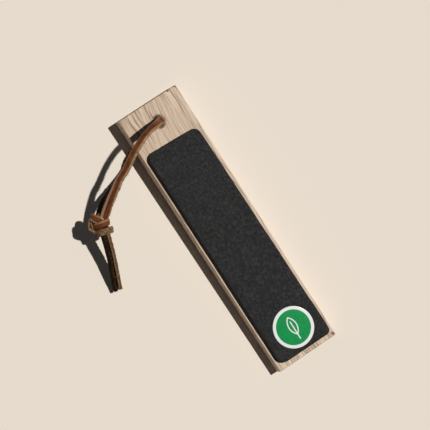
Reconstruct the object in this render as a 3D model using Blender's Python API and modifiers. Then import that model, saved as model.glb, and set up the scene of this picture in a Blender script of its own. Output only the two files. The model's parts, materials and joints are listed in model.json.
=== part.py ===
"""A pocket honing strop: a hardwood paddle with a leather face and a hanging lace.

The paddle stands on its foot edge at one end. Its other end rests on the lace, which comes
down through the hole and runs out flat under the left long side, so the paddle is pitched
by about a degree. Axes: X across the paddle, Y from the foot to the hole end, Z up from
the surface that the paddle lies on, with the origin midway along it.
"""

from math import asin, cos, pi, radians, sin

import bmesh
import bpy
from mathutils import Matrix, Vector

# Driving dimensions, in metres
GAP = 0.0003                    # between faces that touch on the real object

BOARD_WIDTH = 0.042
BOARD_LENGTH = 0.1823
BOARD_THICKNESS = 0.011
BOARD_EDGE = 0.0005             # sanded arris

HOLE_FROM_END = 0.0134
HOLE_RADIUS = 0.0031
HOLE_MOUTH_RADIUS = 0.0046
HOLE_MOUTH_DEPTH = 0.0018

PAD_TOP = 0.0032                # leather face above the wood
PAD_EDGE = 0.0004
PAD_CORNERS = (                 # x, distance from the foot, corner radius
    (-0.0191, 0.0034, 0.0056),
    (0.0190, 0.0032, 0.0034),
    (0.0179, 0.1546, 0.0050),
    (-0.0191, 0.1557, 0.0050),
)
GLUE_THICKNESS = 0.0002
GLUE_INSET = 0.0006

LABEL_RADIUS = 0.0130
LABEL_THICKNESS = 0.00015
LABEL_X = 0.0004
LABEL_FROM_FOOT = 0.0187

LACE_WIDTH = 0.0052
LACE_THICKNESS = 0.0024

# The lace under the long side props the paddle up by its own thickness
PROP_FROM_FOOT = 0.158
PITCH = asin((LACE_THICKNESS + GAP) / PROP_FROM_FOOT)
FOOT_Y = -(BOARD_LENGTH * cos(PITCH) - BOARD_THICKNESS * sin(PITCH)) / 2
HOLE_Y = FOOT_Y + (BOARD_LENGTH - HOLE_FROM_END) * cos(PITCH) - BOARD_THICKNESS / 2 * sin(PITCH)

# Routes of the lace from the hole's axis at floor level: x, y, z in metres, and the turn of
# the flat lace about its own line in degrees, where 0 stands it on edge and -90 lays it flat.
THROUGH_HOLE = (
    (0.00040, 0.00014, 0.01390, -100),
    (0.00036, 0.00013, 0.01100, -99),
    (0.00028, 0.00010, 0.00700, -95),
    (0.00010, 0.00004, 0.00400, -91),
    (-0.00070, -0.00025, 0.00212, -90),
    (-0.00250, -0.00090, 0.00130, -90),
    (-0.00520, -0.00188, 0.00121, -90),
    (-0.01400, -0.00506, 0.00120, -90),
    (-0.02397, -0.00867, 0.00120, -90),
)
UPPER_STRAND = (
    (0.0004, 0.0001, 0.0143, -80),
    (0.0001, 0.0000, 0.0198, -76),
    (-0.0016, -0.0002, 0.0266, -62),
    (-0.0058, -0.0006, 0.0327, -45),
    (-0.0118, -0.0013, 0.0361, -35),
    (-0.0189, -0.0035, 0.0371, -33),
    (-0.0272, -0.0074, 0.0366, -35),
    (-0.0364, -0.0129, 0.0350, -39),
    (-0.0426, -0.0159, 0.0332, -42),
    (-0.0482, -0.0197, 0.0308, -49),
    (-0.0537, -0.0237, 0.0276, -59),
    (-0.0578, -0.0270, 0.0248, -66),
    (-0.0604, -0.0292, 0.0231, -68),
)
LOWER_STRAND = (
    (-0.0249, -0.0091, 0.00120, -90),
    (-0.0280, -0.0112, 0.00230, -64),
    (-0.0318, -0.0136, 0.00390, -28),
    (-0.0366, -0.0154, 0.00560, -12),
    (-0.0428, -0.0177, 0.00780, -14),
    (-0.0490, -0.0200, 0.01010, -22),
    (-0.0540, -0.0223, 0.01210, -32),
    (-0.0579, -0.0246, 0.01340, -38),
    (-0.0616, -0.0275, 0.01440, -40),
)
RIGHT_TAIL = (
    (-0.0654, -0.0412, 0.0188, -4),
    (-0.0661, -0.0440, 0.0175, -4),
    (-0.0673, -0.0490, 0.0152, -4),
    (-0.0690, -0.0548, 0.0125, -4),
    (-0.0709, -0.0606, 0.0097, -4),
    (-0.0727, -0.0659, 0.0070, -4),
    (-0.0739, -0.0696, 0.0050, -4),
    (-0.0747, -0.0718, 0.0038, -4),
)
LEFT_TAIL = (
    (-0.0682, -0.0409, 0.0185, -4),
    (-0.0688, -0.0433, 0.0174, -4),
    (-0.0700, -0.0482, 0.0151, -4),
    (-0.0716, -0.0540, 0.0124, -4),
    (-0.0735, -0.0597, 0.0096, -4),
    (-0.0753, -0.0650, 0.0069, -4),
    (-0.0765, -0.0687, 0.0049, -4),
    (-0.0774, -0.0711, 0.0036, -4),
)
KNOT_CENTRE = (-0.0664, -0.0330, 0.0190)
KNOT_SEMI_AXES = (0.0070, 0.0077, 0.0060)   # along the lace, across it, upright
KNOT_HEADING = radians(243)

COLOURS = {                     # base colour and roughness
    "hardwood": ((0.60, 0.48, 0.37), 0.55),
    "black_leather": ((0.030, 0.029, 0.027), 0.70),
    "glue": ((0.45, 0.33, 0.16), 0.40),
    "label": ((0.02, 0.33, 0.07), 0.35),
    "lace_leather": ((0.24, 0.10, 0.04), 0.60),
}


def clear_scene():
    for thing in list(bpy.data.objects):
        bpy.data.objects.remove(thing)


def make_collection(name):
    collection = bpy.data.collections.new(name)
    bpy.context.scene.collection.children.link(collection)
    return collection


def make_material(name):
    colour, roughness = COLOURS[name]
    material = bpy.data.materials.new(name)
    material.use_nodes = True
    shader = material.node_tree.nodes["Principled BSDF"]
    shader.inputs["Base Color"].default_value = (*colour, 1)
    shader.inputs["Roughness"].default_value = roughness
    shader.inputs["Metallic"].default_value = 0
    return material


def place(name, data, collection, parent=None, location=(0, 0, 0), material=None):
    thing = bpy.data.objects.new(name, data)
    collection.objects.link(thing)
    thing.parent = parent
    thing.location = location
    if material:
        data.materials.append(material)
    return thing


def make_empty(name, collection, location, pitch=0):
    empty = place(name, None, collection, location=location)
    empty.empty_display_size = 0.01
    empty.rotation_euler.x = pitch
    return empty


def make_hole_cutter(collection, parent):
    """Turned cutter: a straight bore with a softened mouth at both faces of the board."""
    over = 0.002
    profile = (
        (0, BOARD_THICKNESS + over),
        (HOLE_MOUTH_RADIUS, BOARD_THICKNESS + over),
        (HOLE_MOUTH_RADIUS, BOARD_THICKNESS),
        (HOLE_RADIUS + 0.0006, BOARD_THICKNESS - HOLE_MOUTH_DEPTH / 2),
        (HOLE_RADIUS, BOARD_THICKNESS - HOLE_MOUTH_DEPTH),
        (HOLE_RADIUS, HOLE_MOUTH_DEPTH),
        (HOLE_RADIUS + 0.0006, HOLE_MOUTH_DEPTH / 2),
        (HOLE_MOUTH_RADIUS, 0),
        (HOLE_MOUTH_RADIUS, -over),
        (0, -over),
    )
    mesh = bpy.data.meshes.new("hole_cutter")
    edges = [(i, i + 1) for i in range(len(profile) - 1)]
    mesh.from_pydata([(radius, 0, height) for radius, height in profile], edges, [])
    cutter = place("hole_cutter", mesh, collection, parent,
                   (0, BOARD_LENGTH - HOLE_FROM_END, 0))
    screw = cutter.modifiers.new("turn", "SCREW")
    screw.steps = screw.render_steps = 40
    screw.use_merge_vertices = True
    screw.merge_threshold = 0.00001
    cutter.hide_render = True
    cutter.display_type = "WIRE"
    return cutter


def make_board(collection, cutters, parent):
    mesh = bpy.data.meshes.new("paddle_board")
    shape = bmesh.new()
    bmesh.ops.create_cube(shape, size=1)
    size = Matrix.Diagonal((BOARD_WIDTH, BOARD_LENGTH, BOARD_THICKNESS, 1))
    bmesh.ops.transform(shape, matrix=size, verts=shape.verts)
    middle = (0, BOARD_LENGTH / 2, BOARD_THICKNESS / 2)
    bmesh.ops.translate(shape, vec=middle, verts=shape.verts)
    shape.to_mesh(mesh)
    shape.free()
    board = place("paddle_board", mesh, collection, parent, material=make_material("hardwood"))
    bevel = board.modifiers.new("arris", "BEVEL")
    bevel.width = BOARD_EDGE
    bevel.segments = 2
    hole = board.modifiers.new("hole", "BOOLEAN")
    hole.operation = "DIFFERENCE"
    hole.solver = "EXACT"
    hole.object = make_hole_cutter(cutters, parent)
    return board


def rounded_outline(corners, inset, steps=6):
    """Points round a four-cornered outline, each corner an arc, anticlockwise from above."""
    points = []
    for number, (x, y, radius) in enumerate(corners):
        inward = (1 if x < 0 else -1, 1 if number < 2 else -1)
        centre = Vector((x + inward[0] * radius, y + inward[1] * radius))
        start = pi + number * pi / 2
        for step in range(steps + 1):
            angle = start + step / steps * pi / 2
            arm = Vector((cos(angle), sin(angle))) * (radius - inset)
            points.append(centre + arm)
    return points


def make_sheet(name, outline, bottom, top, edge, collection, parent, material):
    """A flat piece: a filled 2D outline with half its thickness extruded each way."""
    curve = bpy.data.curves.new(name, "CURVE")
    curve.dimensions = "2D"
    curve.fill_mode = "BOTH"
    curve.extrude = (top - bottom) / 2 - edge
    curve.bevel_depth = edge
    curve.bevel_resolution = 1
    spline = curve.splines.new("POLY")
    spline.points.add(len(outline) - 1)
    for point, place_on_outline in zip(spline.points, outline):
        point.co = (*place_on_outline, 0, 1)
    spline.use_cyclic_u = True
    return place(name, curve, collection, parent, (0, 0, (bottom + top) / 2), material)


def make_pad_stack(collection, parent):
    """Glue film, leather face and round label, each resting on the one below it."""
    glue_bottom = BOARD_THICKNESS + GAP
    glue_top = glue_bottom + GLUE_THICKNESS
    pad_top = BOARD_THICKNESS + PAD_TOP
    make_sheet("glue_film", rounded_outline(PAD_CORNERS, GLUE_INSET), glue_bottom, glue_top, 0,
               collection, parent, make_material("glue"))
    make_sheet("strop_leather", rounded_outline(PAD_CORNERS, PAD_EDGE), glue_top + GAP, pad_top,
               PAD_EDGE, collection, parent, make_material("black_leather"))
    mesh = bpy.data.meshes.new("label_sticker")
    shape = bmesh.new()
    bmesh.ops.create_cone(shape, cap_ends=True, segments=64, radius1=LABEL_RADIUS,
                          radius2=LABEL_RADIUS, depth=LABEL_THICKNESS)
    shape.to_mesh(mesh)
    shape.free()
    label_height = pad_top + GAP + LABEL_THICKNESS / 2
    place("label_sticker", mesh, collection, parent,
          (LABEL_X, LABEL_FROM_FOOT, label_height), make_material("label"))


def between(before, start, end, after, share):
    """A point between start and end on the smooth curve through all four (Catmull-Rom)."""
    bend = 3 * (start - end) + after - before
    slope = 2 * before - 5 * start + 4 * end - after
    return start + share * ((end - before) + share * (slope + share * bend)) / 2


def smooth_route(points, spacing=0.0036):
    """Points and turns at an even spacing along one smooth curve through the given ones."""
    knots = [Vector(point) for point in points]
    knots = [2 * knots[0] - knots[1]] + knots + [2 * knots[-1] - knots[-2]]
    fine = []
    for number in range(1, len(knots) - 2):
        fine += [between(*knots[number - 1:number + 3], step / 24) for step in range(24)]
    fine.append(knots[-2])
    travelled = [0]
    for start, end in zip(fine, fine[1:]):
        travelled.append(travelled[-1] + (end.xyz - start.xyz).length)
    count = max(2, round(travelled[-1] / spacing))
    route = []
    here = 0
    for step in range(count + 1):
        target = travelled[-1] * step / count
        while here < len(fine) - 2 and travelled[here + 1] < target:
            here += 1
        share = (target - travelled[here]) / (travelled[here + 1] - travelled[here])
        route.append(fine[here].lerp(fine[here + 1], share))
    return route


def make_lace(name, points, collection, parent, material):
    """A flat lace with rounded edges, swept along its route and turned about it."""
    curve = bpy.data.curves.new(name, "CURVE")
    curve.dimensions = "3D"
    curve.twist_mode = "Z_UP"
    curve.extrude = (LACE_WIDTH - LACE_THICKNESS) / 2
    curve.bevel_depth = LACE_THICKNESS / 2
    curve.bevel_resolution = 2
    curve.use_fill_caps = True
    route = smooth_route(points)
    spline = curve.splines.new("POLY")
    spline.points.add(len(route) - 1)
    for point, (x, y, z, turn) in zip(spline.points, route):
        point.co = (x, y, z, 1)
        point.tilt = radians(turn)
    return place(name, curve, collection, parent, material=material)


def make_knot(collection, parent, material):
    mesh = bpy.data.meshes.new("lace_knot")
    shape = bmesh.new()
    bmesh.ops.create_uvsphere(shape, u_segments=28, v_segments=16, radius=1)
    bmesh.ops.transform(shape, matrix=Matrix.Diagonal((*KNOT_SEMI_AXES, 1)), verts=shape.verts)
    shape.to_mesh(mesh)
    shape.free()
    mesh.shade_smooth()
    knot = place("lace_knot", mesh, collection, parent, KNOT_CENTRE, material)
    knot.rotation_euler.z = KNOT_HEADING
    return knot


def make_strop():
    clear_scene()
    parts = make_collection("honing_strop")
    cutters = make_collection("cutters")
    paddle = make_empty("paddle_foot_edge", parts, (0, FOOT_Y, 0), PITCH)
    make_board(parts, cutters, paddle)
    make_pad_stack(parts, paddle)
    hole_axis = make_empty("hole_axis", parts, (0, HOLE_Y, 0))
    leather = make_material("lace_leather")
    for name, points in (
        ("lace_through_hole", THROUGH_HOLE),
        ("lace_upper_strand", UPPER_STRAND),
        ("lace_lower_strand", LOWER_STRAND),
        ("lace_right_tail", RIGHT_TAIL),
        ("lace_left_tail", LEFT_TAIL),
    ):
        make_lace(name, points, parts, hole_axis, leather)
    make_knot(parts, hole_axis, leather)


make_strop()
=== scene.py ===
"""Looks for the honing strop: lace, wood, leather face, label, camera, floor and light."""

import json
from math import asin, cos, pi, radians, sin
from random import Random

import bmesh
import bpy
from mathutils import Matrix, Vector, noise


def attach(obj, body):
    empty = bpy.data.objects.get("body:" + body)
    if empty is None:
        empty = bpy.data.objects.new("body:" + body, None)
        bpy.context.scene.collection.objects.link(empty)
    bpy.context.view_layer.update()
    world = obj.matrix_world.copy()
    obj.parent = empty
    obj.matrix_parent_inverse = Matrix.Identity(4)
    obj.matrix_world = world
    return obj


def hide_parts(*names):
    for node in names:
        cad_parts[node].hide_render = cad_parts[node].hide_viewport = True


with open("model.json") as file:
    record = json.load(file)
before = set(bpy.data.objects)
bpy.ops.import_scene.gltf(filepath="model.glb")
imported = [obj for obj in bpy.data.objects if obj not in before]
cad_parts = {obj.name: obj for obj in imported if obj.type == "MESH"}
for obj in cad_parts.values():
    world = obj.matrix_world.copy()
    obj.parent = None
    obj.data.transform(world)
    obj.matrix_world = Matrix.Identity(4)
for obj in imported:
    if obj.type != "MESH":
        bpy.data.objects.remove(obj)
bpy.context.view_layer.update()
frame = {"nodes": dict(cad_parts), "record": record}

MM = 0.001

# ------------------------------------------------------------------ sizes and places, as in CAD
HOLE_ON_FLOOR = Vector(frame["record"]["behaviour"]["joints"][0]["pos_m"])
LACE_WIDTH = 5.2 * MM
LACE_THICKNESS = 2.4 * MM
BOARD_LENGTH = 182.3 * MM
BOARD_THICKNESS = 11 * MM
PAD_TOP = 3.2 * MM              # leather face above the wood
PROP_GAP = 0.3 * MM             # between the board and the lace that props it up
PROP_FROM_FOOT = 158 * MM       # where the lace runs out under the board
PITCH = asin((LACE_THICKNESS + PROP_GAP) / PROP_FROM_FOOT)
FOOT_Y = -(BOARD_LENGTH * cos(PITCH) - BOARD_THICKNESS * sin(PITCH)) / 2
PADDLE = Matrix.Translation((0, FOOT_Y, 0)) @ Matrix.Rotation(PITCH, 4, "X")


# ------------------------------------------------------------------ camera
TOWARDS_CAMERA = Vector((-0.187, 0.050, 1.0)).normalized()
PICTURE_TURN = radians(33.6)    # how far the paddle leans over in the picture
AIM = Vector((-2.1, 11.2, 12.5)) * MM
CAMERA_DISTANCE = 1.6
PICTURE_WIDTH = 0.2627          # at the aim point
SENSOR = 36.0                   # mm


def make_camera():
    """A long lens from above, leaning a little to the paddle's left."""
    data = bpy.data.cameras.new("camera")
    data.sensor_width = SENSOR
    data.lens = SENSOR * CAMERA_DISTANCE / PICTURE_WIDTH
    data.clip_start = 0.05
    data.clip_end = 10
    camera = bpy.data.objects.new("camera", data)
    bpy.context.scene.collection.objects.link(camera)
    up = Vector((sin(PICTURE_TURN), cos(PICTURE_TURN), 0))
    right = up.cross(TOWARDS_CAMERA).normalized()
    up = TOWARDS_CAMERA.cross(right)
    turn = Matrix((right, up, TOWARDS_CAMERA)).transposed().to_4x4()
    camera.matrix_world = Matrix.Translation(AIM + TOWARDS_CAMERA * CAMERA_DISTANCE) @ turn
    bpy.context.scene.camera = camera
    bpy.context.scene.view_settings.view_transform = "Standard"


# ------------------------------------------------------------------ the lace's routes
# From the hole's axis at floor level: x, y, z in metres, and the lace's turn about its own
# line in degrees, where 0 stands it on edge and -90 lays it flat.
THROUGH_HOLE = (
    (0.00040, 0.00014, 0.01390, -100),
    (0.00036, 0.00013, 0.01100, -99),
    (0.00028, 0.00010, 0.00700, -95),
    (0.00010, 0.00004, 0.00400, -91),
    (-0.00070, -0.00025, 0.00212, -90),
    (-0.00250, -0.00090, 0.00130, -90),
    (-0.00520, -0.00188, 0.00121, -90),
    (-0.01400, -0.00506, 0.00120, -90),
    (-0.02397, -0.00867, 0.00120, -90),
)
UPPER_STRAND = (
    (0.0004, 0.0001, 0.0143, -80),
    (0.0001, 0.0000, 0.0198, -76),
    (-0.0016, -0.0002, 0.0266, -62),
    (-0.0058, -0.0006, 0.0327, -45),
    (-0.0118, -0.0013, 0.0361, -35),
    (-0.0189, -0.0035, 0.0371, -33),
    (-0.0272, -0.0074, 0.0366, -35),
    (-0.0364, -0.0129, 0.0350, -39),
    (-0.0426, -0.0159, 0.0332, -42),
    (-0.0482, -0.0197, 0.0308, -49),
    (-0.0537, -0.0237, 0.0276, -59),
    (-0.0578, -0.0270, 0.0248, -66),
    (-0.0604, -0.0292, 0.0231, -68),
)
LOWER_STRAND = (
    (-0.0249, -0.0091, 0.00120, -90),
    (-0.0280, -0.0112, 0.00230, -64),
    (-0.0318, -0.0136, 0.00390, -28),
    (-0.0366, -0.0154, 0.00560, -12),
    (-0.0428, -0.0177, 0.00780, -14),
    (-0.0490, -0.0200, 0.01010, -22),
    (-0.0540, -0.0223, 0.01210, -32),
    (-0.0579, -0.0246, 0.01340, -38),
    (-0.0616, -0.0275, 0.01440, -40),
)
RIGHT_TAIL = (
    (-0.0654, -0.0412, 0.0188, -4),
    (-0.0661, -0.0440, 0.0175, -4),
    (-0.0673, -0.0490, 0.0152, -4),
    (-0.0690, -0.0548, 0.0125, -4),
    (-0.0709, -0.0606, 0.0097, -4),
    (-0.0727, -0.0659, 0.0070, -4),
    (-0.0739, -0.0696, 0.0050, -4),
    (-0.0747, -0.0718, 0.0038, -4),
)
LEFT_TAIL = (
    (-0.0682, -0.0409, 0.0185, -4),
    (-0.0688, -0.0433, 0.0174, -4),
    (-0.0700, -0.0482, 0.0151, -4),
    (-0.0716, -0.0540, 0.0124, -4),
    (-0.0735, -0.0597, 0.0096, -4),
    (-0.0753, -0.0650, 0.0069, -4),
    (-0.0765, -0.0687, 0.0049, -4),
    (-0.0774, -0.0711, 0.0036, -4),
)
KNOT_CENTRE = Vector((-0.0664, -0.0330, 0.0190))
RING_SPACING = 0.5 * MM
FINE_STEPS = 24                 # between two given points, before the even spacing


def between(before, start, end, after, share):
    """A point between start and end on the smooth curve through all four (Catmull-Rom)."""
    bend = 3 * (start - end) + after - before
    slope = 2 * before - 5 * start + 4 * end - after
    return start + share * ((end - before) + share * (slope + share * bend)) / 2


def smooth_route(points):
    """Points and turns at an even spacing along one smooth curve through the given ones."""
    knots = [Vector(point) for point in points]
    knots = [2 * knots[0] - knots[1]] + knots + [2 * knots[-1] - knots[-2]]
    fine = []
    for number in range(1, len(knots) - 2):
        near = knots[number - 1:number + 3]
        fine += [between(*near, step / FINE_STEPS) for step in range(FINE_STEPS)]
    fine.append(knots[-2])
    travelled = [0]
    for start, end in zip(fine, fine[1:]):
        travelled.append(travelled[-1] + (end.xyz - start.xyz).length)
    count = round(travelled[-1] / RING_SPACING)
    route = []
    here = 0
    for step in range(count + 1):
        target = travelled[-1] * step / count
        while here < len(fine) - 2 and travelled[here + 1] < target:
            here += 1
        share = (target - travelled[here]) / (travelled[here + 1] - travelled[here])
        route.append(fine[here].lerp(fine[here + 1], share))
    return route


def extended(points, start=0, end=0):
    """The same points, with the line carried straight on past either end."""
    first, second = Vector(points[0]), Vector(points[1])
    last, before = Vector(points[-1]), Vector(points[-2])
    longer = list(points)
    if start:
        step = (first - second).xyz.normalized() * start
        longer.insert(0, (*(first.xyz + step), first.w))
    if end:
        step = (last - before).xyz.normalized() * end
        longer.append((*(last.xyz + step), last.w))
    return longer


def frames_along(route):
    """Centre, wide direction and face direction of the lace at each point of its route."""
    frames = []
    for number, point in enumerate(route):
        ahead = route[min(number + 1, len(route) - 1)].xyz
        behind = route[max(number - 1, 0)].xyz
        along = (ahead - behind).normalized()
        side = along.cross(Vector((0, 0, 1))).normalized()
        upright = side.cross(along)
        turn = radians(point.w)
        wide = cos(turn) * upright + sin(turn) * side
        frames.append((HOLE_ON_FLOOR + point.xyz, wide, along.cross(wide)))
    return frames


# ------------------------------------------------------------------ leather lace meshes
SECTION_POINTS = 28
SECTION_ROUNDING = 0.42         # power that squares an ellipse up: 1 is an ellipse, 0 a box
CROWN = 0.12 * MM               # how far the middle of the grain side bulges
COARSE_FRAY = (0.24 * MM, 1.1 * MM)     # depth, and size of its features
FINE_FRAY = (0.10 * MM, 0.45 * MM)
GRAIN_RIPPLE = (0.03 * MM, 1.6 * MM)
BUNCHED_END = 12 * MM           # the lace is bunched up this far from the top of the hole
BUNCHED_FADE = 4 * MM
BUNCHED_NARROWING = 0.25        # share of its thickening
GRAIN, FLESH = 0, 1             # the lace's two material slots
GRAIN_LOW_EDGE = 0.62           # height on the section where the grain side begins


def power(value, exponent):
    return (1 if value >= 0 else -1) * abs(value) ** exponent


def clamp(value):
    return max(0, min(1, value))


def lace_section():
    """Corners of the lace's section as (across, up) from -1 to 1, grain side up."""
    angles = [2 * pi * (k + 0.5) / SECTION_POINTS - pi / 2 for k in range(SECTION_POINTS)]
    return [(power(cos(a), SECTION_ROUNDING), power(sin(a), SECTION_ROUNDING)) for a in angles]


SECTION = lace_section()


def distances_round(width, thickness):
    """Distance in mm of each section corner round the lace from the middle of its grain side."""
    sized = [Vector((across * width / 2, up * thickness / 2)) / MM for across, up in SECTION]
    steps = [(b - a).length for a, b in zip(sized, sized[1:])]
    return [sum(steps) / 2 - sum(steps[:k]) for k in range(len(sized))]


def rough(place, size, seed):
    """Noise from -1 to 1 at a place, with features of the given size."""
    return noise.noise(place / size + Vector((seed * 7.3, seed * 3.1, 0)))


def relief(place, depth, size, seed):
    return depth * rough(place, size, seed)


def lace_ring(centre, wide, up, half_width, half_thick, ragged, seed):
    """One ring of the lace: smooth on its grain side, and ragged round its edges and below."""
    ring = []
    for across, height in SECTION:
        on_grain = clamp((height - 0.35) * 3)
        place = centre + wide * across * half_width + up * height * half_thick
        place += up * CROWN * (1 - across * across) * (0.5 + 0.5 * height)
        outward = (wide * across * 0.8 + up * height).normalized()
        cut = relief(place, *COARSE_FRAY, seed) + relief(place, *FINE_FRAY, seed)
        smooth = relief(place, *GRAIN_RIPPLE, seed)
        place += outward * (cut * ragged * (1 - on_grain) + smooth * on_grain)
        ring.append(place)
    return ring


def bridge(shape, rings):
    """Faces from each ring of corners to the next, as (face, row, corner, next corner)."""
    count = len(rings[0])
    faces = []
    for row, (ring, following) in enumerate(zip(rings, rings[1:])):
        for k in range(count):
            n = (k + 1) % count
            face = shape.faces.new((ring[k], ring[n], following[n], following[k]))
            faces.append((face, row, k, n))
    return faces


def sweep_lace(name, frames, grain_side, seed, materials, fray, width=LACE_WIDTH,
               thickness=LACE_THICKNESS, swell=1.0):
    """A closed mesh of the lace along its frames: a smooth grain side and ragged cut edges.

    materials are the grain side's and the rest's. fray scales the raggedness at the lace's
    start and at its end. swell thickens and narrows its first centimetre, where the lace is
    bunched up in the hole. The map's coordinates are millimetres round the section and along
    the lace.
    """
    shape = bmesh.new()
    uv = shape.loops.layers.uv.new("lace")
    rings = []
    measures = []
    travelled = 0
    before = frames[0][0]
    for number, (centre, wide, face) in enumerate(frames):
        travelled += (centre - before).length
        before = centre
        measures.append(travelled)
        spot = Vector((travelled, seed, 0))
        ragged = fray[0] + (fray[1] - fray[0]) * number / (len(frames) - 1)
        half_width = width / 2 * (1 + 0.05 * rough(spot, 9 * MM, seed))
        half_thick = thickness / 2 * (1 + 0.06 * rough(spot, 6 * MM, seed + 5))
        bunched = clamp((BUNCHED_END - travelled) / BUNCHED_FADE)
        half_thick *= 1 + (swell - 1) * bunched
        half_width *= 1 - BUNCHED_NARROWING * (swell - 1) * bunched
        ring = lace_ring(centre, wide, face * grain_side, half_width, half_thick, ragged, seed)
        rings.append([shape.verts.new(place) for place in ring])
    around = distances_round(width, thickness)
    for side, row, k, n in bridge(shape, rings):
        height = (SECTION[k][1] + SECTION[n][1]) / 2
        side.material_index = GRAIN if height > GRAIN_LOW_EDGE else FLESH
        side.smooth = True
        # the map's seam is under the lace, where the last corner meets the first
        near, far = around[k], around[n] if n else -around[0]
        start, end = measures[row] / MM, measures[row + 1] / MM
        corners = ((near, start), (far, start), (far, end), (near, end))
        for loop, corner in zip(side.loops, corners):
            loop[uv].uv = corner
    for cap in (list(reversed(rings[0])), rings[-1]):
        shape.faces.new(cap).material_index = FLESH
    bmesh.ops.recalc_face_normals(shape, faces=shape.faces)
    return finish_mesh(name, shape, materials)


def finish_mesh(name, shape, materials):
    """The shape as an object in the scene, with the named materials."""
    mesh = bpy.data.meshes.new(name)
    shape.to_mesh(mesh)
    shape.free()
    for material in materials:
        mesh.materials.append(MATERIALS[material])
    piece = bpy.data.objects.new(name, mesh)
    bpy.context.scene.collection.objects.link(piece)
    return piece


FIBRE_LENGTHS = (0.4, 1.2)      # mm
FIBRE_RADII = (0.04, 0.13)      # mm
FIBRE_INSET = 0.46              # of the lace's width, from its middle to their roots
FIBRE_SPREAD = 0.42             # of its thickness, up and down the cut edge
FIBRE_SEED = 4
FIBRES_PER_RING = 1.6
FIBRES_BESIDE_KNOT = 260
FIBRE_SIDES = 3
FIBRE_STEPS = 3


def make_fibres(runs):
    """Short loose fibres that stand off the cut edges of the lace's runs."""
    dice = Random(FIBRE_SEED)
    shape = bmesh.new()
    for frames, grain_side, count in runs:
        for _ in range(count):
            centre, wide, face = frames[dice.randrange(1, len(frames) - 1)]
            edge = dice.choice((-1, 1))
            down = -face * grain_side
            height = dice.uniform(-0.1, 0.95)
            root = centre + wide * edge * LACE_WIDTH * FIBRE_INSET
            root += down * height * LACE_THICKNESS * FIBRE_SPREAD
            along = wide.cross(face)
            lean = (wide * edge * dice.uniform(0.5, 1.2) + down * dice.uniform(-0.2, 0.9)
                    + along * dice.uniform(-1.2, 1.2)).normalized()
            curl = Vector([dice.uniform(-1, 1) for _ in range(3)])
            length = dice.uniform(*FIBRE_LENGTHS) * MM
            radius = dice.uniform(*FIBRE_RADII) * MM
            add_fibre(shape, root, lean, curl, length, radius)
    bmesh.ops.recalc_face_normals(shape, faces=shape.faces)
    return finish_mesh("lace_fibres", shape, ("lace_fibre",))


def add_fibre(shape, root, lean, curl, length, radius):
    """A tapered fibre that leans out from its root and curls, and stays above the floor."""
    side = lean.cross(curl).normalized()
    other = lean.cross(side)
    angles = [2 * pi * k / FIBRE_SIDES for k in range(FIBRE_SIDES)]
    rings = []
    for step in range(FIBRE_STEPS + 1):
        share = step / FIBRE_STEPS
        centre = root + lean * length * share + curl * length * 0.35 * share * share
        centre.z = max(centre.z, radius)
        size = radius * (1 - 0.7 * share)
        arms = [cos(angle) * side + sin(angle) * other for angle in angles]
        rings.append([shape.verts.new(centre + arm * size) for arm in arms])
    bridge(shape, rings)
    shape.faces.new(rings[0])
    shape.faces.new(rings[-1])


# ------------------------------------------------------------------ the knot
KNOT_HEADING = radians(237.1)   # down in the picture, as seen on the floor
KNOT_DOWN = Vector((cos(KNOT_HEADING), sin(KNOT_HEADING), 0))
KNOT_ACROSS = KNOT_DOWN.cross(Vector((0, 0, -1)))
KNOT_UP = Vector((0, 0, 1))
KNOT_CORE = (6.3, 4.3, 3.9)     # half lengths across, down and up, in mm
KNOT_CORE_DROP = 0.5            # mm
KNOT_CORE_SKEW = radians(35)
KNOT_CORE_LUMPS = (0.4, 1.8)    # depth, and size of its features, in mm
KNOT_CORE_SEED = 15
KNOT_STEP = 5                   # degrees between the rings of a turn


def from_knot(across, down, up):
    """An offset from the knot's centre, given in mm."""
    return (KNOT_ACROSS * across + KNOT_DOWN * down + KNOT_UP * up) * MM


def wrap_frames(centre, rise, half_length, half_height, start, end, drift=0.0, lean=0.0):
    """Frames of one turn of the lace round the knot.

    centre is (across, down, up) in mm from the knot's centre. The turn runs over the top in
    an oval that climbs to the right by rise degrees. Angles go from 0 at its right end over
    90 at its top to 180 at its left end. drift moves it down the knot on the way, in mm, and
    lean tips its lower edge outwards, in degrees.
    """
    slope = radians(rise)
    along = cos(slope) * KNOT_ACROSS - sin(slope) * KNOT_DOWN
    beside = sin(slope) * KNOT_ACROSS + cos(slope) * KNOT_DOWN
    middle = HOLE_ON_FLOOR + KNOT_CENTRE + from_knot(*centre)
    tilt = radians(lean)
    steps = round(abs(end - start) / KNOT_STEP)
    places = []
    for step in range(steps + 1):
        share = step / steps
        angle = radians(start + (end - start) * share)
        arm = cos(angle) * half_length * along + sin(angle) * half_height * KNOT_UP
        out = (cos(angle) / half_length * along + sin(angle) / half_height * KNOT_UP).normalized()
        place = middle + (arm + beside * drift * (share - 0.5)) * MM
        places.append((place, out))
    frames = []
    for number, (place, out) in enumerate(places):
        ahead = places[min(number + 1, steps)][0]
        behind = places[max(number - 1, 0)][0]
        path = (ahead - behind).normalized()
        face = (out - path * out.dot(path)).normalized()
        wide = face.cross(path).normalized()
        if wide.dot(beside) < 0:
            wide = -wide
        frames.append((place, cos(tilt) * wide + sin(tilt) * face,
                       cos(tilt) * face - sin(tilt) * wide))
    return frames


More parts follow.
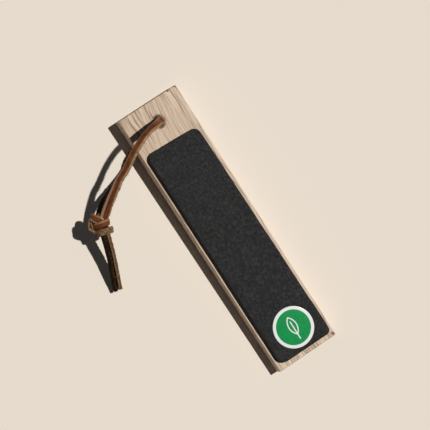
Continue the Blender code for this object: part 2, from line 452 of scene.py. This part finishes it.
# The knot's turns: name, grain (1) or flesh (-1) outwards, width and thickness in mm, and
# what wrap_frames is given
KNOT_TURNS = (
    ("knot_upper_turn", 1, 3.3, 1.9,
     dict(centre=(-1.8, -4.1, 0.1), rise=-24, half_length=3.1, half_height=4.0, start=-60, end=240,
          drift=-0.6, lean=-12)),
    ("knot_middle_turn", 1, 4.3, 2.0,
     dict(centre=(1.1, -0.6, 0.5), rise=19, half_length=4.4, half_height=4.9, start=-70, end=230,
          drift=1.2, lean=-14)),
    ("knot_lower_turn", -1, 4.0, 2.0,
     dict(centre=(3.3, 3.6, -0.3), rise=15, half_length=4.4, half_height=4.2, start=-80, end=255,
          drift=0.6, lean=-8)),
    ("knot_crossing_strand", -1, 1.7, 1.5,
     dict(centre=(0.6, -4.4, 0.4), rise=-48, half_length=2.6, half_height=4.2, start=10, end=160,
          lean=10)),
)
# Strands that lie round the knot on edge: name, width and thickness in mm, and places as
# (across, down, up) in mm from the knot's centre with the turn
KNOT_LOOPS = (
    ("knot_side_loop", 3.8, 1.7,
     ((-0.6, -0.2, 1.6, 0), (-2.6, -1.5, 1.9, 0), (-4.4, -2.6, 1.4, 8), (-5.6, -3.1, 0.6, 10),
      (-6.2, -1.9, 0.0, 12), (-6.1, 0.2, -0.4, 12), (-6.0, 1.9, -0.6, 10), (-4.7, 2.9, -0.6, 6),
      (-2.9, 3.4, -0.6, 4), (-0.8, 4.1, -0.7, 0))),
    ("knot_inner_strand", 3.0, 1.4,
     ((-5.4, -1.2, 0.2, 0), (-4.8, -0.2, 0.5, 0), (-4.4, 1.2, 0.2, 0), (-3.5, 2.5, -0.8, 0))),
)


def loop_frames(places):
    """Frames of a strand through places round the knot."""
    route = []
    for *offset, turn in places:
        route.append((*(KNOT_CENTRE + from_knot(*offset)), turn))
    return frames_along(smooth_route(route))


def make_knot_core():
    """A lumpy, oval core in painted shade: near black, it stands for the shade in the gaps between
    the turns.
    """
    shape = bmesh.new()
    bmesh.ops.create_icosphere(shape, subdivisions=4, radius=1)
    turn = Matrix((KNOT_ACROSS, KNOT_DOWN, KNOT_UP)).transposed().to_4x4()
    skew = Matrix.Rotation(KNOT_CORE_SKEW, 4, "Z")
    size = Matrix.Diagonal((*(half * MM for half in KNOT_CORE), 1))
    move = Matrix.Translation(HOLE_ON_FLOOR + KNOT_CENTRE - KNOT_UP * KNOT_CORE_DROP * MM)
    bmesh.ops.transform(shape, matrix=move @ turn @ skew @ size, verts=shape.verts)
    depth, lump = KNOT_CORE_LUMPS
    for vert in shape.verts:
        vert.co += vert.normal * depth * MM * rough(vert.co, lump * MM, KNOT_CORE_SEED)
    for face in shape.faces:
        face.smooth = True
    return finish_mesh("knot_shade_core", shape, ("lace_painted_shade",))


def make_knot():
    """The overhand knot: its turns, the strands that lie round it on edge, and a core in painted
    shade.
    """
    knot = []
    for seed, (name, grain_side, width, thickness, shape) in enumerate(KNOT_TURNS, 11):
        knot.append(sweep_lace(name, wrap_frames(**shape), grain_side, seed,
                               ("lace_grain", "knot_flesh"), (1.2, 1.2), width * MM,
                               thickness * MM))
    for seed, (name, width, thickness, places) in enumerate(KNOT_LOOPS, 21):
        knot.append(sweep_lace(name, loop_frames(places), 1, seed,
                               ("knot_flesh", "knot_flesh"), (1.3, 1.3), width * MM,
                               thickness * MM))
    return [*knot, make_knot_core()]


def make_lace():
    """The lace's runs as free cords, with the knot and the fibres on them."""
    # each run goes on a little way into the knot, or up and out from under the board
    routes = {
        "lace_in_hole": extended(THROUGH_HOLE, start=0.6 * MM, end=0.6 * MM),
        "lace_upper": extended(UPPER_STRAND, end=4.0 * MM),
        "lace_lower": extended(LOWER_STRAND, end=3.0 * MM),
        "lace_tail_right": extended(RIGHT_TAIL, start=3.0 * MM),
        "lace_tail_left": extended(LEFT_TAIL, start=2.5 * MM),
    }
    # which side the grain is on, the materials, the fraying at start and end, the swelling
    looks = {
        "lace_in_hole": (-1, ("lace_grain", "lace_flesh"), (0.2, 0.8), 1.45),
        "lace_upper": (1, ("lace_grain", "lace_flesh"), (0.2, 2.4), 1.0),
        # the lower strand and the left tail are painted shade all over: near-black, where they lie
        # in shade
        "lace_lower": (-1, ("lace_painted_shade", "lace_painted_shade"), (1.0, 1.6), 1.0),
        "lace_tail_right": (1, ("lace_grain", "lace_edge"), (1.3, 1.3), 1.0),
        "lace_tail_left": (1, ("lace_painted_shade", "lace_painted_shade"), (1.0, 1.3), 1.0),
    }
    frames = {name: frames_along(smooth_route(route)) for name, route in routes.items()}
    pieces = {}
    runs = []
    for seed, (name, (grain_side, materials, fray, swell)) in enumerate(looks.items(), 1):
        pieces[name] = sweep_lace(name, frames[name], grain_side, seed, materials, fray,
                                  swell=swell)
        if name != "lace_in_hole":
            runs.append((frames[name], grain_side, round(len(frames[name]) * FIBRES_PER_RING)))
    knot = make_knot()
    upper_frames = frames["lace_upper"]
    beside_knot = upper_frames[len(upper_frames) // 2:]
    runs.append((beside_knot, looks["lace_upper"][0], FIBRES_BESIDE_KNOT))
    fibres = make_fibres(runs)
    for piece in [*pieces.values(), *knot, fibres]:
        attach(piece, "lanyard")
    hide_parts("lace_through_hole")
    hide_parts("lace_upper_strand")
    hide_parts("lace_lower_strand")
    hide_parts("lace_right_tail")
    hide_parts("lace_left_tail")
    for piece in knot:
        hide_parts("lace_knot")


# ------------------------------------------------------------------ leather face, glue and label
PAD_CORNERS = (                 # x, distance from the foot and corner radius, in mm
    (-19.1, 3.4, 5.6),
    (19.0, 3.2, 3.4),
    (17.9, 154.6, 5.0),
    (-19.1, 155.7, 5.0),
)
PAD_SOFTNESS = 0.45             # radius of its upper edge, in mm
PAD_CORNER_STEPS = 10
PAD_POINT_SPACING = 0.8
PAD_CUT = (0.18, 2)             # how far the knife sways in mm, and its seed
GLUE_CUT = (0.5, 6)
LABEL_PLACE = Vector((0.4, 18.7))       # x and distance from the foot, in mm
LABEL_RADIUS = 13.0
LABEL_SIDES = 120


def pad_outline(inset, wobble, seed):
    """Points round the leather face in mm from the foot edge, hand cut by the wobble."""
    corners = []
    for number, (x, y, radius) in enumerate(PAD_CORNERS):
        right = radius if x < 0 else -radius
        up = radius if number < 2 else -radius
        centre = Vector((x + right, y + up))
        start = pi + number * pi / 2
        for step in range(PAD_CORNER_STEPS + 1):
            angle = start + step / PAD_CORNER_STEPS * pi / 2
            corners.append(centre + Vector((cos(angle), sin(angle))) * radius)
    points = []
    for start, end in zip(corners, corners[1:] + corners[:1]):
        count = max(1, round((end - start).length / PAD_POINT_SPACING))
        points += [start.lerp(end, k / count) for k in range(count)]
    moved = []
    for number, point in enumerate(points):
        ahead = points[(number + 1) % len(points)]
        tangent = (ahead - points[number - 1]).normalized()
        inward = Vector((-tangent.y, tangent.x))
        sway = rough(Vector((*point, 0)), 23, seed) + 0.35 * rough(Vector((*point, 0)), 4, seed)
        moved.append(point + inward * (inset + wobble * (sway + 0.6)))
    return moved


def stack_rings(name, rings, materials, side_rings):
    """A flat closed piece from rings of (x, y) points at heights, bottom ring first.

    Faces up to the side_rings-th ring take the first material, the top takes the last.
    """
    shape = bmesh.new()
    rows = []
    for outline, height in rings:
        places = [PADDLE @ (Vector((*point, height)) * MM) for point in outline]
        rows.append([shape.verts.new(place) for place in places])
    for face, row, _, _ in bridge(shape, rows):
        face.material_index = 0 if row < side_rings else len(materials) - 1
        face.smooth = True
    shape.faces.new(list(reversed(rows[0])))
    top = shape.faces.new(rows[-1])
    top.material_index = len(materials) - 1
    top.smooth = True
    bmesh.ops.recalc_face_normals(shape, faces=shape.faces)
    return finish_mesh(name, shape, materials)


def make_pad():
    """The leather face with a softened upper edge, and the glue line that shows below it."""
    board_top = BOARD_THICKNESS / MM
    top = board_top + PAD_TOP / MM
    shoulder = top - PAD_SOFTNESS
    rings = [
        (pad_outline(0.05, *PAD_CUT), board_top + 0.18),
        (pad_outline(0.0, *PAD_CUT), shoulder),
    ]
    for angle in (22, 45, 67, 90):
        inset = PAD_SOFTNESS * (1 - cos(radians(angle)))
        rise = PAD_SOFTNESS * sin(radians(angle))
        rings.append((pad_outline(inset, *PAD_CUT), shoulder + rise))
    rings.append((pad_outline(1.4, 0.15, 2), top + 0.02))
    pad = stack_rings("leather_face", rings, ("leather_edge", "black_leather"), 1)
    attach(pad, "paddle")
    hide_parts("strop_leather")
    film = stack_rings("glue_line", [
        (pad_outline(0.15, *GLUE_CUT), board_top + 0.01),
        (pad_outline(0.25, *GLUE_CUT), board_top + 0.22),
    ], ("glue",), 1)
    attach(film, "paddle")
    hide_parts("glue_film")


def make_label():
    """A round vinyl label with a softened rim, pressed onto the leather."""
    top = (BOARD_THICKNESS + PAD_TOP) / MM + 0.02
    angles = [2 * pi * k / LABEL_SIDES for k in range(LABEL_SIDES)]
    rings = []
    for inset, height in ((0, -0.02), (0, 0.08), (0.05, 0.13), (0.4, 0.15), (7.0, 0.15)):
        radius = LABEL_RADIUS - inset
        ring = [LABEL_PLACE + Vector((cos(a), sin(a))) * radius for a in angles]
        rings.append((ring, top + height))
    label = stack_rings("round_label", rings, ("label_edge", "label_print"), 2)
    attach(label, "paddle")
    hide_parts("label_sticker")


# ------------------------------------------------------------------ materials
MATERIALS = {}


class Recipe:
    """A material's node tree, with short ways to add its nodes."""

    def __init__(self, name, roughness=0.5, specular=0.5):
        self.material = bpy.data.materials.new(name)
        self.material.use_nodes = True
        self.tree = self.material.node_tree
        self.shader = self.tree.nodes["Principled BSDF"]
        self.shader.inputs["Roughness"].default_value = roughness
        self.shader.inputs["Specular IOR Level"].default_value = specular
        MATERIALS[name] = self.material

    def link(self, source, target):
        self.tree.links.new(source, target)

    def node(self, kind, **settings):
        node = self.tree.nodes.new(kind)
        for key, value in settings.items():
            setattr(node, key, value)
        return node

    def feed(self, node, key, value):
        """Gives a node's input a number or another node's output."""
        socket = node.inputs[key]
        if isinstance(value, bpy.types.NodeSocket):
            self.link(value, socket)
        else:
            socket.default_value = value

    def scaled(self, vector, scale):
        mapping = self.node("ShaderNodeMapping", vector_type="POINT")
        mapping.inputs["Scale"].default_value = scale
        self.link(vector, mapping.inputs["Vector"])
        return mapping.outputs["Vector"]

    def place(self, scale=(1000, 1000, 1000)):
        """Coordinates in the piece's own frame, scaled; 1000 gives millimetres."""
        return self.scaled(self.node("ShaderNodeTexCoord").outputs["Object"], scale)

    def lace_map(self):
        """Millimetres round the lace's section from mid grain side, and along the lace."""
        return self.node("ShaderNodeUVMap", uv_map="lace").outputs["UV"]

    def vector(self, operation, a, b, output="Vector"):
        node = self.node("ShaderNodeVectorMath", operation=operation)
        self.feed(node, 0, a)
        self.feed(node, 1, b)
        return node.outputs[output]

    def split(self, vector):
        node = self.node("ShaderNodeSeparateXYZ")
        self.link(vector, node.inputs[0])
        return node.outputs

    def noise(self, vector, scale=1.0, detail=3.0, roughness=0.5, distortion=0.0):
        texture = self.node("ShaderNodeTexNoise")
        self.link(vector, texture.inputs["Vector"])
        texture.inputs["Scale"].default_value = scale
        texture.inputs["Detail"].default_value = detail
        texture.inputs["Roughness"].default_value = roughness
        texture.inputs["Distortion"].default_value = distortion
        return texture.outputs["Fac"]

    def math(self, operation, a, b=0.0):
        node = self.node("ShaderNodeMath", operation=operation)
        self.feed(node, 0, a)
        self.feed(node, 1, b)
        return node.outputs[0]

    def times(self, a, b):
        return self.math("MULTIPLY", a, b)

    def plus(self, a, b):
        return self.math("ADD", a, b)

    def spread(self, value, low, high, to_low=0.0, to_high=1.0):
        """value taken from low..high to to_low..to_high, held at both ends."""
        node = self.node("ShaderNodeMapRange", clamp=True)
        for key, number in (("Value", value), ("From Min", low), ("From Max", high),
                            ("To Min", to_low), ("To Max", to_high)):
            self.feed(node, key, number)
        return node.outputs["Result"]

    def mix(self, share, a, b, blend="MIX"):
        """Colour a, with its share of colour b over it."""
        node = self.node("ShaderNodeMix", data_type="RGBA", blend_type=blend)
        self.feed(node, 0, share)
        for socket, value in ((6, a), (7, b)):      # the node's two colour sockets
            self.feed(node, socket, (*value, 1) if isinstance(value, tuple) else value)
        return node.outputs[2]

    def ramp(self, value, stops):
        node = self.node("ShaderNodeValToRGB")
        elements = node.color_ramp.elements
        while len(elements) < len(stops):
            elements.new(0.5)
        for element, (position, colour) in zip(elements, stops):
            element.position = position
            element.color = (*colour, 1)
        self.link(value, node.inputs["Fac"])
        return node.outputs["Color"]

    def bump(self, height, distance, strength=1.0, normal=None):
        node = self.node("ShaderNodeBump")
        node.inputs["Strength"].default_value = strength
        node.inputs["Distance"].default_value = distance
        self.link(height, node.inputs["Height"])
        if normal:
            self.link(normal, node.inputs["Normal"])
        return node.outputs["Normal"]

    def colour(self, value):
        self.link(value, self.shader.inputs["Base Color"])

    def gloss(self, value):
        self.link(value, self.shader.inputs["Roughness"])

    def surface(self, normal):
        self.link(normal, self.shader.inputs["Normal"])


DARK_SPOTS = (                  # small dark spots on two corners of the wood: x, y, z, radius in mm
    (19.6, -89.6, 11, 1.3),
    (14.8, 90.9, 14, 1.1),
    (19.9, 90.4, 14, 0.9),
)


def make_hardwood():
    """Pale hardwood: soft bands, fine streaks, dark pores, small dark spots, and end faces
    darkened, partly as end grain and partly as painted shade.
    """
    wood = Recipe("hardwood", specular=0.12)
    place = wood.place()
    sway = wood.noise(wood.place((35, 22, 35)), 1.0, 2)
    offset = wood.node("ShaderNodeCombineXYZ")
    wood.link(wood.spread(sway, 0.3, 0.7, -2.2, 2.2), offset.inputs["X"])
    swayed = wood.vector("ADD", place, offset.outputs[0])
    bands = wood.noise(wood.scaled(swayed, (0.16, 0.006, 0.16)), 1.0, 3, 0.55)
    streaks = wood.noise(wood.scaled(swayed, (1.25, 0.028, 1.25)), 1.0, 4, 0.6)
    fine = wood.noise(wood.scaled(swayed, (4.5, 0.10, 4.5)), 1.0, 2, 0.6)
    pores = wood.noise(wood.scaled(swayed, (2.6, 0.085, 2.6)), 1.0, 3, 0.7)
    base = wood.ramp(bands, [(0.30, (0.600, 0.446, 0.320)), (0.52, (0.720, 0.560, 0.421)),
                             (0.72, (0.820, 0.676, 0.536))])
    tone = wood.ramp(streaks, [(0.35, (0.36, 0.30, 0.26)), (0.47, (0.87, 0.84, 0.81)),
                               (0.66, (1.0, 1.0, 1.0))])
    colour = wood.mix(0.9, base, tone, "MULTIPLY")
    fleck = wood.ramp(fine, [(0.34, (0.62, 0.56, 0.50)), (0.52, (1, 1, 1))])
    colour = wood.mix(0.6, colour, fleck, "MULTIPLY")
    dark = wood.spread(pores, 0.36, 0.29)
    colour = wood.mix(wood.times(dark, 0.72), colour, (0.27, 0.165, 0.105))
    for *spot, radius in DARK_SPOTS:
        away = wood.vector("DISTANCE", place, spot, "Value")
        ragged = wood.plus(away, wood.spread(wood.noise(place, 1.3), 0.3, 0.7, -0.6, 0.6))
        # a small dark spot round each listed place
        knot = wood.spread(ragged, radius, radius * 0.45)
        colour = wood.mix(wood.times(knot, 0.85), colour, (0.075, 0.035, 0.018))
    facing = wood.split(wood.node("ShaderNodeTexCoord").outputs["Normal"])
    # end faces darkened: partly end grain's own darker tone, partly painted shade on faces turned
    # from the light
    end_grain_and_shade = wood.spread(wood.math("ABSOLUTE", facing["Y"]), 0.45, 0.80)
    wood.colour(wood.mix(wood.times(end_grain_and_shade, 0.90), colour, (0.110, 0.070, 0.044)))
    wood.gloss(wood.spread(streaks, 0.3, 0.7, 0.62, 0.48))
    ridges = wood.plus(wood.times(streaks, 0.6), wood.times(fine, 0.4))
    normal = wood.bump(ridges, 0.12 * MM, 0.5)
    pits = wood.math("SUBTRACT", 1.0, dark)
    wood.surface(wood.bump(pits, 0.10 * MM, 0.6, normal))


def make_black_leather():
    """Buffed black leather: a mottled nap over a fine pebbled grain."""
    leather = Recipe("black_leather", specular=0.2)
    place = leather.place()
    cloud = leather.noise(place, 0.10, 4, 0.6)
    mottle = leather.noise(place, 0.55, 4, 0.65)
    nap = leather.noise(place, 3.2, 3, 0.6)
    mottled_nap = leather.plus(leather.times(mottle, 0.4), leather.times(nap, 0.25))
    blend = leather.plus(leather.times(cloud, 0.35), mottled_nap)
    leather.colour(leather.ramp(blend, [(0.38, (0.0040, 0.0036, 0.0033)),
                                        (0.50, (0.0076, 0.0068, 0.0062)),
                                        (0.62, (0.0165, 0.0146, 0.0132))]))
    leather.gloss(leather.spread(mottle, 0.35, 0.65, 0.72, 0.58))
    cells = leather.node("ShaderNodeTexVoronoi", feature="F1")
    leather.link(place, cells.inputs["Vector"])
    cells.inputs["Scale"].default_value = 1.9
    pebble = leather.bump(cells.outputs["Distance"], 0.05 * MM, 0.5)
    leather.surface(leather.bump(nap, 0.07 * MM, 0.5, pebble))


def make_leather_edge():
    """Cut edge of the black leather: compressed layers, dyed through."""
    edge = Recipe("leather_edge", roughness=0.8, specular=0.2)
    layers = edge.noise(edge.place((900, 900, 5200)), 1.0, 3)
    edge.colour(edge.ramp(layers, [(0.35, (0.012, 0.011, 0.010)), (0.65, (0.030, 0.026, 0.022))]))
    edge.surface(edge.bump(layers, 0.15 * MM, 0.6))


def make_glue():
    """Amber contact adhesive, squeezed out in beads."""
    glue = Recipe("glue", roughness=0.35)
    beads = glue.noise(glue.place(), 0.9, 2)
    glue.colour(glue.ramp(beads, [(0.35, (0.20, 0.13, 0.06)), (0.65, (0.42, 0.31, 0.17))]))
    glue.surface(glue.bump(beads, 0.1 * MM, 0.5))


def make_lace_grain():
    """Brown waxed grain side: streaks, one side paler, most of all near the knot, and
    paler cut corners, partly the cut's own colour and partly a painted highlight."""
    grain = Recipe("lace_grain", roughness=0.62, specular=0.16)
    streaks = grain.noise(grain.scaled(grain.lace_map(), (0.95, 0.07, 1)), 1.0, 4, 0.62, 0.4)
    patches = grain.noise(grain.place(), 0.17, 3)
    pores = grain.noise(grain.place(), 3.0, 3, 0.6)
    blend = grain.plus(grain.times(streaks, 0.65), grain.times(patches, 0.35))
    colour = grain.ramp(blend, [(0.38, (0.050, 0.0140, 0.0045)), (0.48, (0.140, 0.0400, 0.0095)),
                                (0.58, (0.225, 0.0700, 0.0170)), (0.70, (0.360, 0.1500, 0.0620))])
    sides = grain.split(grain.lace_map())
    around, travelled = sides["X"], sides["Y"]
    # one side of the grain paler: in streaks all along, and most of all near the knot
    faint = grain.times(grain.spread(around, -0.4, -1.7), grain.spread(streaks, 0.40, 0.58))
    paler_near_knot = grain.times(grain.spread(around, -0.3, -0.9), grain.spread(travelled, 50, 64))
    paler_near_knot = grain.times(paler_near_knot, grain.spread(pores, 0.30, 0.50, 0.55, 1.0))
    paler_side = grain.math("MAXIMUM", grain.times(faint, 0.5), paler_near_knot)
    colour = grain.mix(grain.times(paler_side, 0.85), colour, (0.520, 0.2900, 0.1850))
    # a paler band at the grain side's cut corners: partly the cut's own colour, partly a painted
    # highlight
    cut = grain.spread(grain.math("ABSOLUTE", around), 2.15, 2.5)
    colour = grain.mix(grain.times(cut, 0.7), colour, (0.300, 0.1500, 0.0850))
    fleck = grain.ramp(pores, [(0.30, (0.50, 0.45, 0.42)), (0.50, (1, 1, 1))])
    grain.colour(grain.mix(0.5, colour, fleck, "MULTIPLY"))
    grain.gloss(grain.spread(pores, 0.3, 0.7, 0.72, 0.55))
    grain.surface(grain.bump(grain.plus(streaks, pores), 0.09 * MM, 0.6))


# Flesh sides and cut edges: dark, middle and light colour. The last, near-black set is no leather
# colour but painted shade, for the runs that lie in shade
FLESH_TONES_AND_PAINTED_SHADE = {
    "lace_flesh": ((0.120, 0.060, 0.025), (0.300, 0.180, 0.085), (0.460, 0.330, 0.190)),
    "knot_flesh": ((0.014, 0.008, 0.004), (0.190, 0.105, 0.050), (0.400, 0.270, 0.155)),
    "lace_edge": ((0.040, 0.020, 0.008), (0.125, 0.074, 0.032), (0.230, 0.150, 0.074)),
    "lace_painted_shade": ((0.006, 0.003, 0.001), (0.015, 0.007, 0.003), (0.040, 0.022, 0.011)),
}


def make_lace_flesh_and_shade():
    """Fibrous flesh side in three tones, and a near-black set that is painted shade. lace_edge has
    a brown band along one corner, partly the cut's own colour and partly a painted highlight.
    """
    for name, (dark, middle, light) in FLESH_TONES_AND_PAINTED_SHADE.items():
        flesh = Recipe(name, roughness=0.9, specular=0.08)
        fibres = flesh.noise(flesh.scaled(flesh.lace_map(), (1.6, 0.45, 1)), 1.0, 5, 0.7, 0.8)
        lumps = flesh.noise(flesh.place(), 0.9, 4, 0.6)
        shade = flesh.plus(flesh.times(fibres, 0.5), flesh.times(lumps, 0.5))
        colour = flesh.ramp(shade, [(0.38, dark), (0.50, middle), (0.62, light)])
        if name == "lace_edge":
            # a paler band along one corner of the cut edge: partly the cut's own colour, partly a
            # painted highlight
            around = flesh.split(flesh.lace_map())["X"]
            corner = flesh.times(flesh.spread(around, 3.05, 2.75), flesh.spread(around, 2.0, 2.3))
            colour = flesh.mix(corner, colour, (0.300, 0.150, 0.090))
        flesh.colour(colour)
        flesh.surface(flesh.bump(shade, 0.25 * MM, 0.8))


def make_lace_fibre():
    """Loose fibres from dark to tan."""
    fibre = Recipe("lace_fibre", roughness=0.9, specular=0.05)
    tint = fibre.noise(fibre.place(), 0.8, 2)
    fibre.colour(fibre.ramp(tint, [(0.40, (0.060, 0.030, 0.012)), (0.60, (0.420, 0.290, 0.160))]))


DISC_RADIUS = 11.0              # mm
LEAF_OFFSET = 5.2               # of its two arcs' centres, left and right
LEAF_HEIGHT = 1.0
LEAF_RADIUS = 8.2
LEAF_LINE = 0.7
STALK_HALF_WIDTH = 0.36
STALK_BOTTOM = -8.3
STALK_TOP = 4.1


def make_label_print():
    """White vinyl with a green disc, and a plain leaf outline on it."""
    label = Recipe("label_print", roughness=0.13, specular=0.2)
    place = label.place()
    printed_face = (BOARD_THICKNESS + PAD_TOP) / MM + 0.1
    centre = PADDLE @ (Vector((*LABEL_PLACE, printed_face)) * MM) / MM
    from_centre = label.split(label.vector("SUBTRACT", place, centre))
    x, y = from_centre["X"], from_centre["Y"]

    def circle(centre_x, centre_y, radius, soft=0.08):
        across = label.math("SUBTRACT", x, centre_x)
        up = label.math("SUBTRACT", y, centre_y)
        squared = label.plus(label.times(across, across), label.times(up, up))
        return label.spread(label.math("SQRT", squared), radius + soft, radius - soft)

    def leaf(radius):
        return label.times(circle(-LEAF_OFFSET, LEAF_HEIGHT, radius),
                           circle(LEAF_OFFSET, LEAF_HEIGHT, radius))

    white = (0.80, 0.80, 0.77)
    grime = label.noise(place, 0.7, 3)
    green = label.ramp(grime, [(0.3, (0.006, 0.235, 0.058)), (0.7, (0.009, 0.300, 0.080))])
    colour = label.mix(circle(0, 0, DISC_RADIUS), white, green)
    colour = label.mix(leaf(LEAF_RADIUS), colour, white)
    colour = label.mix(leaf(LEAF_RADIUS - LEAF_LINE), colour, green)
    beside = label.math("ABSOLUTE", x)
    stalk = label.spread(beside, STALK_HALF_WIDTH + 0.06, STALK_HALF_WIDTH - 0.06)
    above = label.spread(y, STALK_BOTTOM - 0.1, STALK_BOTTOM + 0.1)
    below = label.spread(y, STALK_TOP + 0.1, STALK_TOP - 0.1)
    stalk = label.times(stalk, label.times(above, below))
    label.colour(label.mix(stalk, colour, white))
    label.surface(label.bump(label.noise(place, 0.25, 2), 0.05 * MM, 0.4))


def make_label_edge():
    """The label's pale cut edge."""
    edge = Recipe("label_edge", roughness=0.5)
    paper = edge.noise(edge.place(), 2.0, 2)
    edge.colour(edge.ramp(paper, [(0.3, (0.62, 0.61, 0.58)), (0.7, (0.78, 0.77, 0.74))]))


def make_materials():
    make_hardwood()
    make_black_leather()
    make_leather_edge()
    make_glue()
    make_lace_grain()
    make_lace_flesh_and_shade()
    make_lace_fibre()
    make_label_print()
    make_label_edge()


def dress_board():
    """The board keeps its CAD shape and takes the wood."""
    board = frame["nodes"]["paddle_board"]
    board.data.materials.clear()
    board.data.materials.append(MATERIALS["hardwood"])


# ------------------------------------------------------------------ studio
SUN_DIRECTION = Vector((0.390, -0.030, 1.0)).normalized()
FLOOR_COLOUR = (0.799, 0.708, 0.604)
FILL_COLOUR = (0.80, 0.94, 1.10, 1)
FILL = 0.050                    # share of a lit surface's light that reaches into shade
SUN_SPREAD = radians(1.6)
FLOOR_HALF_SIZE = 1.5
FLOOR_DROP = 0.05 * MM          # keeps the floor just clear of the model


def make_floor():
    """A plain sheet of warm paper."""
    shape = bmesh.new()
    bmesh.ops.create_grid(shape, x_segments=1, y_segments=1, size=FLOOR_HALF_SIZE)
    paper = Recipe("floor_paper", roughness=0.95, specular=0.0)
    paper.shader.inputs["Base Color"].default_value = (*FLOOR_COLOUR, 1)
    floor = finish_mesh("floor", shape, ("floor_paper",))
    floor.location.z = -FLOOR_DROP


def make_light():
    """One hard sun, and a faint bluish fill from all round."""
    scene = bpy.context.scene
    sun_data = bpy.data.lights.new("key", "SUN")
    sun_data.energy = (1 - FILL) * pi / SUN_DIRECTION.z
    sun_data.angle = SUN_SPREAD
    sun = bpy.data.objects.new("key", sun_data)
    sun.rotation_euler = SUN_DIRECTION.to_track_quat("Z", "Y").to_euler()
    scene.collection.objects.link(sun)
    world = bpy.data.worlds.new("fill")
    world.use_nodes = True
    background = world.node_tree.nodes["Background"]
    background.inputs["Color"].default_value = FILL_COLOUR
    background.inputs["Strength"].default_value = FILL
    scene.world = world


make_camera()
make_materials()
make_lace()
dress_board()
make_pad()
make_label()
make_floor()
make_light()
